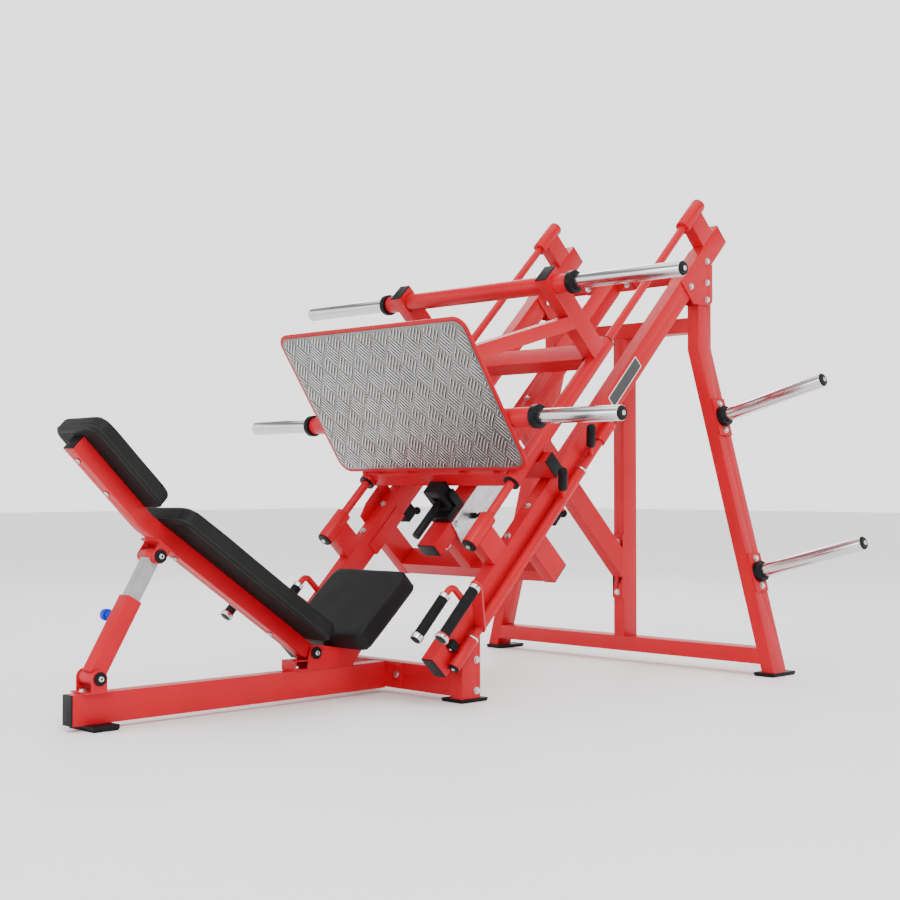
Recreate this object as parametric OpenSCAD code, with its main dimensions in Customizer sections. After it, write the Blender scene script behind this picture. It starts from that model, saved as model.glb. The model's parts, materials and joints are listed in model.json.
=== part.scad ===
// Plate-loaded leg press machine: frame, sloping carriage, safety levers, seat and backrest.
// Millimetres. X points to the rear of the machine, +Z is up and the feet stand on z = 0.

/* [Frame] */
// Slope of the carriage rails in degrees
rail_slope = 45.5; // [40:0.5:50]
// Distance from the middle plane to the centre of each rail
rail_y = 364; // [320:1:400]
// Width of the frame tubes
tube_w = 50; // [40:1:60]
// Depth of the rail tubes
tube_d = 83; // [70:1:90]
// Wall of the frame tubes
wall = 3; // [2:0.5:4]
// Length of each rail tube
rail_length = 2165; // [2000:5:2300]
// Depth of the rear frame tubes
rear_d = 80; // [60:1:100]
// Outward lean of the rear legs in degrees
leg_lean = 15.3; // [5:0.1:20]
// Radius of the frame bolts
bolt_r = 6; // [4:0.5:8]

/* [Carriage] */
// Diameter of the guide rods
rod_d = 30; // [20:1:40]
// Diameter of the plate sleeves
horn_d = 50; // [25:0.5:50.8]
// Outer diameter of the sliding sleeves
slider_d = 60; // [50:1:66]
// Half width of the foot plate
plate_half = 470; // [400:5:500]
// Height of the foot plate along its own slope
plate_h = 575; // [450:5:600]
// Lean of the foot plate from upright in degrees
plate_lean = 33.4; // [20:0.1:45]

/* [Safety levers] */
// Outward tilt of the pegs and levers at rest in degrees
peg_tilt = 32; // [20:1:40]
// Distance from the lever shaft to the outer grip
lever_l = 249; // [200:1:280]

/* [Seat and backrest] */
// Slope of the backrest in degrees
back_slope = 34.9; // [25:0.1:50]
// Slope of the headrest in degrees
head_slope = 44.9; // [35:0.1:60]
// Slope of the seat in degrees
seat_slope = 42.6; // [30:0.1:50]
// Thickness of the pads
pad_t = 44; // [35:1:60]

/* [Hidden] */
$fn = 64;
eps = 0.1;
x_shift = 4.5;
half = tube_w / 2;
rail_x = -77;
rail_z = 502;
rail_top = -112;
rail_bot = rail_top - tube_d;
rail_u0 = -383;
rail_u1 = rail_u0 + rail_length;
in_y = rail_y - half;
out_y = rail_y + half;
rod_r = rod_d / 2;
housing_r = 28;
slider_r = slider_d / 2;
horn_r = horn_d / 2;
horn_bore = horn_r - 5;
spigot_r = horn_r - 1.5;
plug_gap = 0.1;
fit = 0.05;
skin = 0.005;
beam_half = 42;
beam_top = -118;
beam_bot = -168;
rear_x = 1130;
lean_k = tan(leg_lean);
leg_zc = 1213.2;
leg_z0 = 14;
foot_z = 5;
shaft_y = 412;
shaft_v = -184;
shaft_r = 14;
peg_u = [388, 596];
grip_r = 11;
grip_rubber_r = 16.5;
back_x = -454;
back_z = 187;
back_l = 734;
head_l = 323;
board_t = 8;
hinge = [-443, 0, 158];
strut_low = [-1241, 0, 147];
strut_high = [-1041, 0, 488];
strut_v = strut_high - strut_low;
strut_l = norm(strut_v);
strut_tilt = atan2(strut_v[0], strut_v[2]);
pin_r = 8;
lock_h = 195;
fork_x = back_x - strut_high[0];
fork_z = strut_high[2] - back_z;
fork_s = fork_x * cos(back_slope) + fork_z * sin(back_slope);
fork_n = fork_z * cos(back_slope) - fork_x * sin(back_slope);
bar_up = [908, 333];
bar_low = [39.5, 180];
bar_r = 31.5;
horn_heights = [944.5, 367.8];
horn_l = 447;
red = [0.72, 0.12, 0.15];
black = [0.08, 0.08, 0.09];
chrome = [0.82, 0.83, 0.85];
steel = [0.7, 0.7, 0.72];
vinyl = [0.12, 0.11, 0.12];
blue = [0.1, 0.3, 0.75];

// ---------- frames of reference ----------

// Machine frame, centred on its overall length
module machine() {
  translate([x_shift, 0, 0]) children();
}

// Rail frame: local X up the rails, local Z square to them, zero on the guide rod
module on_rail() {
  machine() translate([rail_x, 0, rail_z]) rotate([0, -rail_slope, 0]) children();
}

// Foot plate frame: local Z up the plate, local X out of its back
module on_plate() {
  machine() translate([98, 0, 744]) rotate([0, -plate_lean, 0]) children();
}

// Backrest frame: local X up the beam, local Z out of its upper face
module on_back() {
  machine() translate([back_x, 0, back_z]) rotate([0, back_slope, 0])
    rotate([0, 0, 180]) children();
}

// Headrest frame, at the bend of the backrest beam
module on_head() {
  machine() translate([back_x - back_l * cos(back_slope), 0, back_z + back_l * sin(back_slope)])
    rotate([0, head_slope, 0]) rotate([0, 0, 180]) children();
}

// Seat frame: local X up the seat, local Z out of the cushion
module on_seat() {
  machine() translate([-395, 0, 215]) rotate([0, -seat_slope, 0]) children();
}

// Strut frame: local Z from the lower pivot to the upper one
module on_strut() {
  machine() translate(strut_low) rotate([0, strut_tilt, 0]) children();
}

// Storage horn frame: local Z out along the horn, zero on the middle of the leg
module at_storage() {
  for (s = [-1, 1], z = horn_heights)
    machine() translate([rear_x + rear_d / 2, s * leg_y(z), z])
      rotate([-s * (90 - leg_lean), 0, 0]) children();
}

// Carriage horn frame: local Z outward along Y, zero on the middle plane
module at_upper_bar() {
  for (s = [-1, 1])
    on_rail() translate([bar_up[0], 0, bar_up[1]]) rotate([-90 * s, 0, 0]) children();
}

module at_lower_bar() {
  for (s = [-1, 1])
    on_plate() translate([bar_low[0], 0, bar_low[1]]) rotate([-90 * s, 0, 0]) children();
}

// Safety shaft frame on one side: local X up the rail, local Z along the pegs
module at_shaft(s) {
  on_rail() translate([0, s * shaft_y, shaft_v]) rotate([-s * peg_tilt, 0, 0]) children();
}

// ---------- basic shapes ----------

// Rectangular tube between two corners, open along one axis (0 x, 1 y, 2 z)
module tube(a, b, axis, t = wall) {
  e = [for (i = [0:2]) i == axis ? -1 : t];
  difference() {
    translate(a) cube(b - a);
    translate(a + e) cube(b - a - 2 * e);
  }
}

// Box between two corners
module box(a, b) {
  translate(a) cube(b - a);
}

// Cylinder along local X
module rod_x(x0, x1, r) {
  translate([x0, 0, 0]) rotate([0, 90, 0]) cylinder(r = r, h = x1 - x0);
}

// Cylinder along local Y, centred
module rod_y(r, y) {
  rotate([90, 0, 0]) cylinder(r = r, h = 2 * y, center = true);
}

// Outline in the XZ plane given a thickness along Y
module slab(points, y0, y1) {
  translate([0, y1, 0]) rotate([90, 0, 0]) linear_extrude(y1 - y0) polygon(points);
}

// Plate along XZ with a round lower end about the origin and a straight upper part
module tab(r, h, t) {
  rotate([90, 0, 0]) linear_extrude(t, center = true) union() {
    circle(r = r);
    translate([-r, 0]) square([2 * r, h]);
  }
}

// Plastic cap for a rectangular tube: plate above z = 0, plug below it
module plug_cap(w, d, t = wall) {
  translate([-w / 2, -d / 2, 0]) cube([w, d, 4]);
  translate([-w / 2 + t + plug_gap, -d / 2 + t + plug_gap, -12])
    cube([w - 2 * (t + plug_gap), d - 2 * (t + plug_gap), 12 + eps]);
}

// Round black cap with a bore for its screw, plate above z = 0
module round_cap(r, plug_r, screw_r = 4) {
  difference() {
    union() {
      cylinder(r1 = r, r2 = r - 3.5, h = 6);
      translate([0, 0, -14]) cylinder(r = plug_r, h = 14 + eps);
    }
    translate([0, 0, -20]) cylinder(r = screw_r + fit, h = 40);
  }
}

// Screw that holds a round cap
module cap_screw(r = 4) {
  translate([0, 0, 6]) cylinder(r = 2 * r, h = 3);
  translate([0, 0, -13]) cylinder(r = r, h = 20);
}

// Hex bolt with washer; $l is the clamped length, a nut closes it when $nut is true
module bolt(r = bolt_r) {
  cylinder(r = 2 * r, h = 1.5);
  translate([0, 0, 1]) cylinder(r = 1.75 * r, h = 1.1 * r, $fn = 6);
  translate([0, 0, -$l]) cylinder(r = r - plug_gap, h = $l + 1);
  if ($nut) translate([0, 0, -$l - 1.4 * r]) cylinder(r = 1.75 * r, h = 1.4 * r, $fn = 6);
}

// Hole for the same bolt
module bore(r = bolt_r) {
  translate([0, 0, -$l - 0.5]) cylinder(r = r, h = $l + 1);
}

// ---------- bolt places, shared by the bolts and their holes ----------

module at_base_flange() {
  $l = 5 + wall;
  $nut = true;
  for (s = [-1, 1])
    machine() translate([-138, s * 82, 67]) rotate([0, -90, 0]) children();
}

module at_post_bolts() {
  $l = tube_w + 5;
  $nut = true;
  for (s = [-1, 1], z = [36, 135])
    machine() translate([-70, s * out_y, z]) rotate([-90 * s, 0, 0]) children();
}

module at_rail_flange() {
  $l = tube_d + 8;
  $nut = true;
  for (s = [-1, 1], u = [146, 285])
    on_rail() translate([u, s * rail_y, rail_top]) children();
}

module at_gusset() {
  $l = tube_w + 12;
  $nut = true;
  for (s = [-1, 1], p = [[1178, 1549], [1177, 1467], [1075, 1443], [1177, 1402]])
    machine() translate([p[0], s * (out_y + 6), p[1]]) rotate([-90 * s, 0, 0]) children();
}

module at_stub_flange() {
  $l = 8 + wall;
  $nut = true;
  for (s = [-1, 1], u = [152, 280])
    on_rail() translate([u, s * 27, beam_bot - 8]) rotate([180, 0, 0]) children();
}

module at_beam_bolt() {
  $l = beam_top - beam_bot + 6;
  $nut = true;
  on_rail() translate([838, 0, beam_top]) children();
}

module at_beam_bolt_high() {
  $l = beam_top - beam_bot;
  $nut = true;
  on_rail() translate([1111, 0, beam_top]) children();
}

module at_upper_flange() {
  $l = 5 + wall;
  $nut = true;
  for (s = [-1, 1])
    on_rail() translate([1495, s * 98, -130]) rotate([0, -90, 0]) children();
}

module at_brace_foot() {
  $l = 8 + wall;
  $nut = true;
  for (z = [273, 471])
    machine() translate([rear_x - 8, 0, z]) rotate([0, -90, 0]) children();
}

module at_storage_bolts() {
  $l = tube_w + 8;
  $nut = true;
  for (k = [-52, 52])
    at_storage() translate([0, k, half + 8]) children();
}

module at_seat_base() {
  $l = 5 + wall;
  $nut = true;
  for (x = [-500, -310])
    machine() translate([x, 0, 110]) children();
}

module at_strut_base() {
  $l = 5 + wall;
  $nut = true;
  for (x = [-1270, -1208])
    machine() translate([x, 0, 110]) children();
}

module at_rack() {
  $l = 6 + wall;
  $nut = true;
  for (u = [222, 430, 610])
    on_rail() translate([u, -beam_half - 6, -142]) rotate([90, 0, 0]) children();
}

module at_plate_pads() {
  $l = 11;
  $nut = false;
  for (s = [-1, 1], z = [388, 472])
    on_plate() translate([14, s * rail_y, z]) rotate([0, 90, 0]) children();
}

module at_pad_bolts() {
  $l = tube_w + board_t;
  $nut = false;
  for (u = [144, 581])
    on_back() translate([u, 0, -tube_w]) rotate([180, 0, 0]) children();
  for (u = [144, 277])
    on_head() translate([u, 0, -tube_w]) rotate([180, 0, 0]) children();
}

// ---------- fixed frame ----------

module base_beam() {
  color(red) difference() {
    machine() {
      tube([-1316, -half, 17], [-137, half, 105], 0);
      box([-138, -110, 22], [-133, 110, 105]);
    }
    at_base_flange() bore();
    at_seat_base() bore();
    at_strut_base() bore();
  }
}

module front_cross_beam() {
  color(red) difference() {
    machine() {
      tube([-133, -335, 20], [-83, 335, 107], 1);
      for (s = [-1, 1])
        box([-133, s * (in_y - 2.5) - 2.5, 18], [-54, s * (in_y - 2.5) + 2.5, 152]);
    }
    at_base_flange() bore();
    at_post_bolts() bore();
  }
}

module front_posts() {
  color(red) difference() {
    machine() for (s = [-1, 1])
      tube([-135, s * rail_y - half, 12], [-52, s * rail_y + half, 300], 2);
    on_rail() box([-600, -500, rail_bot], [600, 500, 400]);
    at_post_bolts() bore();
  }
}

module rails() {
  color(red) difference() {
    on_rail() for (s = [-1, 1])
      tube([rail_u0, s * rail_y - half, rail_bot], [rail_u1, s * rail_y + half, rail_top], 0);
    at_rail_flange() bore();
    at_gusset() bore();
  }
}

// Bolted plates that join each rail to its rear leg, and the guard plate on the left rail
module rail_gussets() {
  guard = [[189, -160], [189, -113], [191, -82], [245, -67], [366, -64], [366, -160]];
  outline = [[1017.8, 1456.3], [1090.5, 1384.8], [1095, 1380], [1194, 1380],
    [1214, 1397], [1214, 1536], [1152.4, 1593.2]];
  color(red) difference() {
    machine() for (s = [-1, 1], y = [in_y - 3, out_y + 3])
      slab(outline, s * y - 3, s * y + 3);
    at_gusset() bore();
  }
  color(red) on_rail() slab(guard, out_y, out_y + 6);
}

// Stub posts and round housings that carry the guide rods
module rod_supports() {
  color(red) on_rail() for (s = [-1, 1]) translate([0, s * rail_y, 0]) difference() {
    union() {
      rod_x(0, 125, housing_r);
      rod_x(1632, 1771, housing_r);
      for (u = [17, 1658])
        tube([u, -half, rail_top], [u + 84, half, -housing_r + 12], 2);
    }
    rod_x(-10, 1800, rod_r + fit);
  }
}

module guide_rods() {
  color(red) on_rail() for (s = [-1, 1])
    translate([0, s * rail_y, 0]) rod_x(2, 1769, rod_r);
}

// Posts under the rails with their bolted saddles
module drop_posts() {
  color(red) difference() {
    on_rail() for (s = [-1, 1]) {
      tube([175, s * rail_y - half, -371], [257, s * rail_y + half, rail_bot - 7], 2);
      box([115, s * rail_y - half - 4, rail_bot - 8], [311, s * rail_y + half, rail_bot]);
      box([115, s * (in_y - 2) - 2, rail_bot - 8], [311, s * (in_y - 2) + 2, rail_bot + 45]);
    }
    at_rail_flange() bore();
  }
}

// Cross tube between the drop posts with the stub under the centre beam
module lower_cross_tube() {
  color(red) difference() {
    on_rail() {
      tube([175, -in_y, -371], [257, in_y, -320], 1);
      tube([175, -half, -321], [257, half, beam_bot - 7], 2);
      box([134, -40, beam_bot - 8], [298, 40, beam_bot]);
    }
    at_stub_flange() bore();
  }
}

module upper_cross_tube() {
  color(red) difference() {
    on_rail() tube([1500, -in_y + 6, -162], [1582, in_y - 6, rail_top], 1);
    at_upper_flange() bore();
  }
}

module centre_beam() {
  color(red) difference() {
    on_rail() {
      tube([95, -beam_half, beam_bot], [1496, beam_half, beam_top], 0);
      box([1495, -120, -162], [1500, 120, rail_top]);
    }
    at_stub_flange() bore();
    at_beam_bolt() bore();
    at_beam_bolt_high() bore();
    at_upper_flange() bore();
    at_rack() bore();
  }
}

// Plate on the side of the centre beam
module rack_plate() {
  outline = [[206, -122], [191, -223], [640, -223], [640, -122]];
  color(steel) difference() {
    on_rail() slab(outline, -beam_half - 6, -beam_half);
    on_rail() translate([300, -beam_half - 3, -182]) rod_y(6.1, 10);
    at_rack() bore();
  }
}

function leg_y(z) = rail_y + lean_k * (leg_zc - z);

function leg_outline(h, z0, z1) = [
  [rail_y - h, z1], [rail_y + h, z1],
  [rail_y + h, leg_zc + h * tan(leg_lean / 2)],
  [leg_y(z0) + h / cos(leg_lean), z0], [leg_y(z0) - h / cos(leg_lean), z0],
  [rail_y - h, leg_zc - h * tan(leg_lean / 2)]];

module leg_solid(h, z0, z1, x0, x1) {
  machine() translate([x0, 0, 0]) rotate([90, 0, 90]) linear_extrude(x1 - x0)
    polygon(leg_outline(h, z0, z1));
}

module rear_legs() {
  color(red) for (m = [0, 1]) mirror([0, m, 0]) difference() {
    leg_solid(half, leg_z0, 1600, rear_x, rear_x + rear_d);
    leg_solid(half - wall, leg_z0 - 1, 1601, rear_x + wall, rear_x + rear_d - wall);
    on_rail() box([1000, -500, rail_bot], [2200, 500, 400]);
    at_gusset() bore();
    at_storage_bolts() bore();
  }
}

// Bottom and top bars between the rear legs
module rear_crossbars() {
  e = half / cos(leg_lean);
  color(red) {
    machine() tube([rear_x, -in_y, 1278], [rear_x + rear_d, in_y, 1334], 1);
    intersection() {
      machine() tube([rear_x, -700, 43], [rear_x + rear_d, 700, 100], 1);
      machine() translate([rear_x, 0, 0]) rotate([90, 0, 90]) linear_extrude(rear_d)
        polygon([[-leg_y(40) + e, 40], [leg_y(40) - e, 40],
          [leg_y(110) - e, 110], [-leg_y(110) + e, 110]]);
    }
  }
}

module rear_centre_post() {
  color(red) difference() {
    machine() tube([rear_x, -half, 100], [rear_x + rear_d, half, 1278], 2);
    at_brace_foot() bore();
  }
}

// Brace from the centre beam to the rear post with a flange at each end
module diagonal_brace() {
  color(red) difference() {
    union() {
      difference() {
        on_rail() tube([720, -half, -1300], [802, half, beam_bot - 5], 2);
        machine() box([rear_x - 7, -60, 0], [rear_x + 500, 60, 700]);
      }
      on_rail() box([690, -40, beam_bot - 6], [866, 40, beam_bot]);
      machine() box([rear_x - 8, -half, 250], [rear_x, half, 500]);
    }
    at_beam_bolt() bore();
    at_brace_foot() bore();
  }
}

module storage_flanges() {
  color(red) difference() {
    at_storage() box([-38, -72, half + skin], [38, 72, half + 8]);
    at_storage_bolts() bore();
  }
}

// Hollow plate sleeve: a held spigot from z0 to zc, then the free part up to z1
module horn_tube(z0, zc, z1) {
  difference() {
    union() {
      translate([0, 0, z0]) cylinder(r = spigot_r - fit, h = zc - z0 + eps);
      translate([0, 0, zc]) cylinder(r = horn_r, h = z1 - zc);
    }
    translate([0, 0, z0 - 1]) cylinder(r = horn_bore, h = z1 - z0 + 2);
  }
}

// Collar ring that plates rest against
module horn_collar(r, z0, z1) {
  translate([0, 0, z0]) difference() {
    cylinder(r = r, h = z1 - z0);
    translate([0, 0, -1]) cylinder(r = spigot_r, h = z1 - z0 + 2);
  }
}

module storage_horns() {
  color(chrome) at_storage() horn_tube(half + 8, half + 30, half + 8 + horn_l);
}

module storage_collars() {
  color(black) at_storage() {
    horn_collar(38, half + 8, half + 30);
    translate([0, 0, half + 8 + horn_l]) round_cap(horn_r - 1, horn_bore - plug_gap);
  }
}

// Steel foot plates under the base, posts and rear legs
module foot_plates() {
  color(black) machine() {
    box([-1275, -70, foot_z], [-1190, 70, 17]);
    for (s = [-1, 1]) {
      box([-140, s * 347 - 48, foot_z], [-22, s * 347 + 48, 12]);
      box([1120, s * 679.5 - 42.5, foot_z], [1265, s * 679.5 + 42.5, leg_z0]);
    }
  }
}

module rubber_feet() {
  color(black) machine() {
    box([-1273, -68, 0], [-1192, 68, foot_z]);
    for (s = [-1, 1]) {
      box([-138, s * 347 - 46, 0], [-24, s * 347 + 46, foot_z]);
      box([1122, s * 679.5 - 40.5, 0], [1263, s * 679.5 + 40.5, foot_z]);
    }
  }
}

module frame_end_caps() {
  color(black) {
    machine() translate([-1316, 0, 61]) rotate([0, -90, 0]) plug_cap(88, tube_w);
    on_rail() {
      translate([95, 0, (beam_top + beam_bot) / 2]) rotate([0, -90, 0])
        plug_cap(50, 2 * beam_half);
      for (s = [-1, 1]) {
        translate([rail_u0, s * rail_y, rail_top - tube_d / 2]) rotate([0, -90, 0])
          plug_cap(tube_d, tube_w);
        translate([rail_u1, s * rail_y, rail_top - tube_d / 2]) rotate([0, 90, 0])
          plug_cap(tube_d, tube_w);
        translate([216, s * rail_y, -371]) rotate([180, 0, 0]) plug_cap(82, tube_w);
        translate([0, s * rail_y, 0]) rotate([0, -90, 0]) difference() {
          cylinder(r = 26, h = 5);
          translate([0, 0, -1]) cylinder(r = 4 + fit, h = 10);
        }
        translate([1771, s * rail_y, 0]) rotate([0, 90, 0]) cylinder(r = 26, h = 5);
        translate([-354, s * shaft_y, shaft_v]) rotate([0, -90, 0]) cylinder(r = 18.5, h = 5);
        translate([756, s * shaft_y, shaft_v]) rotate([0, 90, 0]) cylinder(r = 18.5, h = 5);
      }
    }
  }
}

module frame_bolts() {
  color(steel) {
    at_base_flange() bolt();
    at_post_bolts() bolt();
    at_rail_flange() bolt();
    at_gusset() bolt();
    at_stub_flange() bolt();
    at_beam_bolt() bolt();
    at_beam_bolt_high() bolt();
    at_upper_flange() bolt();
    at_brace_foot() bolt();
    at_storage_bolts() bolt();
    at_seat_base() bolt();
    at_strut_base() bolt();
    at_rack() bolt();
    at_storage() translate([0, 0, half + 8 + horn_l]) cap_screw();
    on_rail() for (s = [-1, 1]) translate([-5, s * rail_y, 0]) rotate([0, -90, 0]) {
      cylinder(r = 8, h = 5);
      translate([0, 0, -6]) cylinder(r = 4, h = 7);
    }
  }
}

// Fixed bearing sleeves of the lever shafts, welded to the rails
module shaft_sleeves() {
  color(red) on_rail() for (s = [-1, 1]) difference() {
    for (u = [[-354, -240], [664, 756]]) {
      translate([0, s * shaft_y, shaft_v]) rod_x(u[0], u[1], 19.5);
      box([u[0] + 8, s * (out_y + 6) - 6, shaft_v - 8], [u[1] - 8, s * (out_y + 6) + 6, shaft_v + 10]);
    }
    translate([0, s * shaft_y, shaft_v]) rod_x(-400, 800, shaft_r + 0.08);
  }
}

// Bent tubes of the inner fixed grips
module assist_grip_tubes() {
  color(red) on_rail() for (s = [-1, 1]) translate([0, s * 369, -28]) {
    rod_x(-375, -170, grip_r);
    translate([-170, 0, -22]) rotate([90, 0, 0])
      rotate_extrude(angle = 90) translate([22, 0]) circle(r = grip_r);
    translate([-148, 0, rail_top + 28]) cylinder(r = grip_r, h = -rail_top - 28 - 22);
  }
}

module assist_grip_rubbers() {
  color(black) on_rail() for (s = [-1, 1]) translate([0, s * 369, -28]) difference() {
    rod_x(-357, -205, grip_rubber_r);
    rod_x(-380, -190, grip_r + fit);
  }
}

module grip_collars() {
  color(chrome) on_rail() for (s = [-1, 1]) translate([0, s * 369, -28]) difference() {
    union() {
      rod_x(-375, -357, 20);
      rod_x(-205, -190, 18);
    }
    rod_x(-380, -180, grip_r + fit);
  }
}

// Rubber blocks on the rails where the levers and their weights come to rest
module stop_pads() {
  color(black) on_rail() for (s = [-1, 1]) {
    box([314, s * rail_y - half, rail_bot - 46], [370, s * rail_y + half, rail_bot]);
    box([-315, s * (out_y + 11) - 11, -156], [-285, s * (out_y + 11) + 11, -126]);
  }
}

// Carriage stop on top of the centre beam
module stop_block() {
  color(black) on_rail() difference() {
    union() {
      box([205, -45, beam_top], [300, 45, -94]);
      box([242, -38, -95], [295.7, 38, -5]);
      box([262, -52, -95], [295.7, 52, -40]);
    }
    box([234, -13, -80], [264, 13, -34]);
    translate([247, 0, -63]) rod_y(4, 34);
  }
}

// Black caps and pins of the backrest hinge, the lower strut pivot and the stop handle
module pivot_bolts() {
  color(black) {
    machine() translate(hinge) {
      rod_y(10 - fit, 33.5);
      for (s = [-1, 1]) rotate([-90 * s, 0, 0]) {
        translate([0, 0, 33]) cylinder(r = 19.5, h = 7);
        translate([0, 0, 39]) cylinder(r = 8, h = 6, $fn = 6);
      }
    }
    machine() translate(strut_low) {
      rod_y(pin_r - fit, 44.5);
      for (s = [-1, 1]) rotate([-90 * s, 0, 0]) {
        translate([0, 0, 44]) cylinder(r = 19.5, h = 6);
        translate([0, 0, 49]) cylinder(r = 8, h = 6, $fn = 6);
      }
    }
    on_rail() translate([247, 0, -63]) rod_y(4 - fit, 34);
  }
}

// Fork on the base beam for the backrest strut
module strut_bracket() {
  color(red) difference() {
    machine() {
      box([-1284, -44, 105], [-1196, 44, 110]);
      for (s = [-1, 1]) translate([0, s * 41.5, 0]) {
        translate(strut_low) rotate([0, 180, 0]) tab(25, 38, 5);
      }
    }
    machine() translate(strut_low) rod_y(pin_r, 60);
    at_strut_base() bore();
  }
}

// Side plates that carry the backrest hinge and the seat
module seat_bracket() {
  outline = [[-476, 109], [-284, 109], [-251, 148], [-205, 286.8], [-336, 166.3],
    [-430, 182], [-468, 158]];
  color(red) difference() {
    union() {
      machine() {
        box([-530, -33, 105], [-284, 33, 110]);
        difference() {
          box([-530, -33, 105], [-470, 33, 138]);
          box([-526, -34, 110], [-460, 34, 134]);
        }
        for (s = [-1, 1]) translate([0, s * 30, 0]) {
          slab(outline, -3, 3);
          translate(hinge) rod_y(25, 3);
        }
      }
      on_seat() box([12, -60, -76], [200, 60, -70]);
    }
    machine() translate(hinge) rod_y(10, 60);
    at_seat_base() bore();
  }
}

module seat_board() {
  color(black) on_seat() box([8, -168, -70], [280, 168, -60]);
}

// Cushion with rounded corners, upper face on z = 0
module cushion(x0, x1, w, t, r) {
  translate([0, 0, -t]) linear_extrude(t) union() {
    translate([x0 + r, -w / 2]) square([x1 - x0 - 2 * r, w]);
    translate([x0, -w / 2 + r]) square([x1 - x0, w - 2 * r]);
    for (x = [x0 + r, x1 - r], y = [-w / 2 + r, w / 2 - r])
      translate([x, y]) circle(r = r);
  }
}

module seat_pad() {
  color(vinyl) on_seat() cushion(0, 288, 360, 60, 30);
}

// ---------- carriage ----------

module at_sliders() {
  for (s = [-1, 1]) on_rail() translate([0, s * rail_y, 0]) children();
}

module carriage_sleeves() {
  color(red) at_sliders() difference() {
    rod_x(285, 985, slider_r);
    rod_x(284, 986, slider_r - 6);
  }
}

// Bushes in both ends of each sliding sleeve
module carriage_bearings() {
  color(black) at_sliders() difference() {
    union() {
      rod_x(280, 285, slider_r - 0.5);
      rod_x(284, 335, slider_r - 6 - fit);
      rod_x(935, 986, slider_r - 6 - fit);
      rod_x(985, 989, slider_r - 1);
    }
    rod_x(270, 1000, rod_r + 0.08);
  }
}

module carriage_uprights() {
  color(red) difference() {
    on_rail() for (s = [-1, 1])
      tube([873, s * (rail_y + 2) - half, 20], [948, s * (rail_y + 2) + half, 380], 2);
    at_sliders() rod_x(800, 1000, slider_r);
    on_rail() translate([bar_up[0], 0, bar_up[1]]) rod_y(bar_r, 500);
  }
}

// Cross tubes between the sliding sleeves and the catch tube for the safety pegs
module carriage_cross_tubes() {
  color(red) difference() {
    on_rail() {
      tube([296, -350, -28], [346, 350, 30], 1);
      tube([865, -341, -20], [945, 341, 30], 1);
      tube([408, -416, -105], [458, 416, -28], 1);
    }
    at_sliders() rod_x(200, 1000, slider_r);
  }
}

// Round bars that hold the carriage plate sleeves
module horn_bars() {
  color(red) {
    on_rail() translate([bar_up[0], 0, bar_up[1]]) difference() {
      rod_y(bar_r - fit, 455);
      rod_y(spigot_r, 456);
    }
    on_plate() translate([bar_low[0], 0, bar_low[1]]) difference() {
      rod_y(bar_r, 553);
      rod_y(spigot_r, 554);
    }
  }
}

// Braces from the uprights and sleeves to the back of the foot plate
module carriage_braces() {
  slope = 15.9;
  color(red) difference() {
    union() {
      difference() {
        machine() for (s = [-1, 1]) translate([-138.8, 0, 1102.5]) rotate([0, -slope, 0])
          tube([-60, s * (rail_y + 2) - half, -24], [700, s * (rail_y + 2) + half, 24], 0);
        on_rail() box([873, -500, -200], [1400, 500, 700]);
        on_plate() box([-200, -500, 200], [13, 500, 700]);
      }
      for (s = [-1, 1]) {
        on_plate() box([8, s * rail_y - 38, 372], [14, s * rail_y + 38, 488]);
        on_rail() tube([351, s * rail_y - 20, 20], [391, s * rail_y + 20, 205], 2);
        on_rail() for (y = [130, 290])
          slab([[303.5, 30], [346, 30], [346, 62], [326, 150]], s * y - 4, s * y + 4);
      }
    }
    at_sliders() rod_x(200, 1000, slider_r);
    on_plate() translate([bar_low[0], 0, bar_low[1]]) rod_y(bar_r, 600);
    on_plate() box([-60, -500, -100], [8, 500, 372]);
    at_plate_pads() bore(5);
  }
}

// Rounded plate outline in the plate's own YZ plane
module plate_shape(inset, x0, x1, r) {
  on_plate() translate([x0, 0, 0]) rotate([90, 0, 90]) linear_extrude(x1 - x0) {
    w = plate_half - inset;
    translate([-w + r, inset]) square([2 * (w - r), plate_h - 2 * inset]);
    translate([-w, inset + r]) square([2 * w, plate_h - 2 * (inset + r)]);
    for (y = [-w + r, w - r], z = [inset + r, plate_h - inset - r])
      translate([y, z]) circle(r = r);
  }
}

module foot_plate() {
  color(red) difference() {
    plate_shape(0, 3, 8, 50);
    at_plate_pads() bore(5);
  }
}

module tread_plate() {
  color(steel) plate_shape(13, 0, 3, 40);
}

module carriage_horns() {
  color(chrome) {
    at_upper_bar() horn_tube(395, 477, 921);
    at_lower_bar() horn_tube(493, 575, 907);
  }
}

module carriage_collars() {
  color(black) {
    at_upper_bar() {
      horn_collar(39, 455, 477);
      translate([0, 0, 921]) round_cap(horn_r - 1, horn_bore - plug_gap);
    }
    at_lower_bar() {
      horn_collar(39, 553, 575);
      translate([0, 0, 907]) round_cap(horn_r - 1, horn_bore - plug_gap);
    }
  }
}

module carriage_end_caps() {
  color(black) on_rail() for (s = [-1, 1]) {
    translate([910.5, s * (rail_y + 2), 380]) plug_cap(75, tube_w);
    translate([433, s * 416, -66.5]) rotate([-90 * s, 0, 0]) plug_cap(50, 77);
  }
}

module carriage_bolts() {
  color(steel) {
    at_plate_pads() bolt(5);
    at_upper_bar() translate([0, 0, 921]) cap_screw();
    at_lower_bar() translate([0, 0, 907]) cap_screw();
  }
}

// ---------- safety levers ----------

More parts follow.
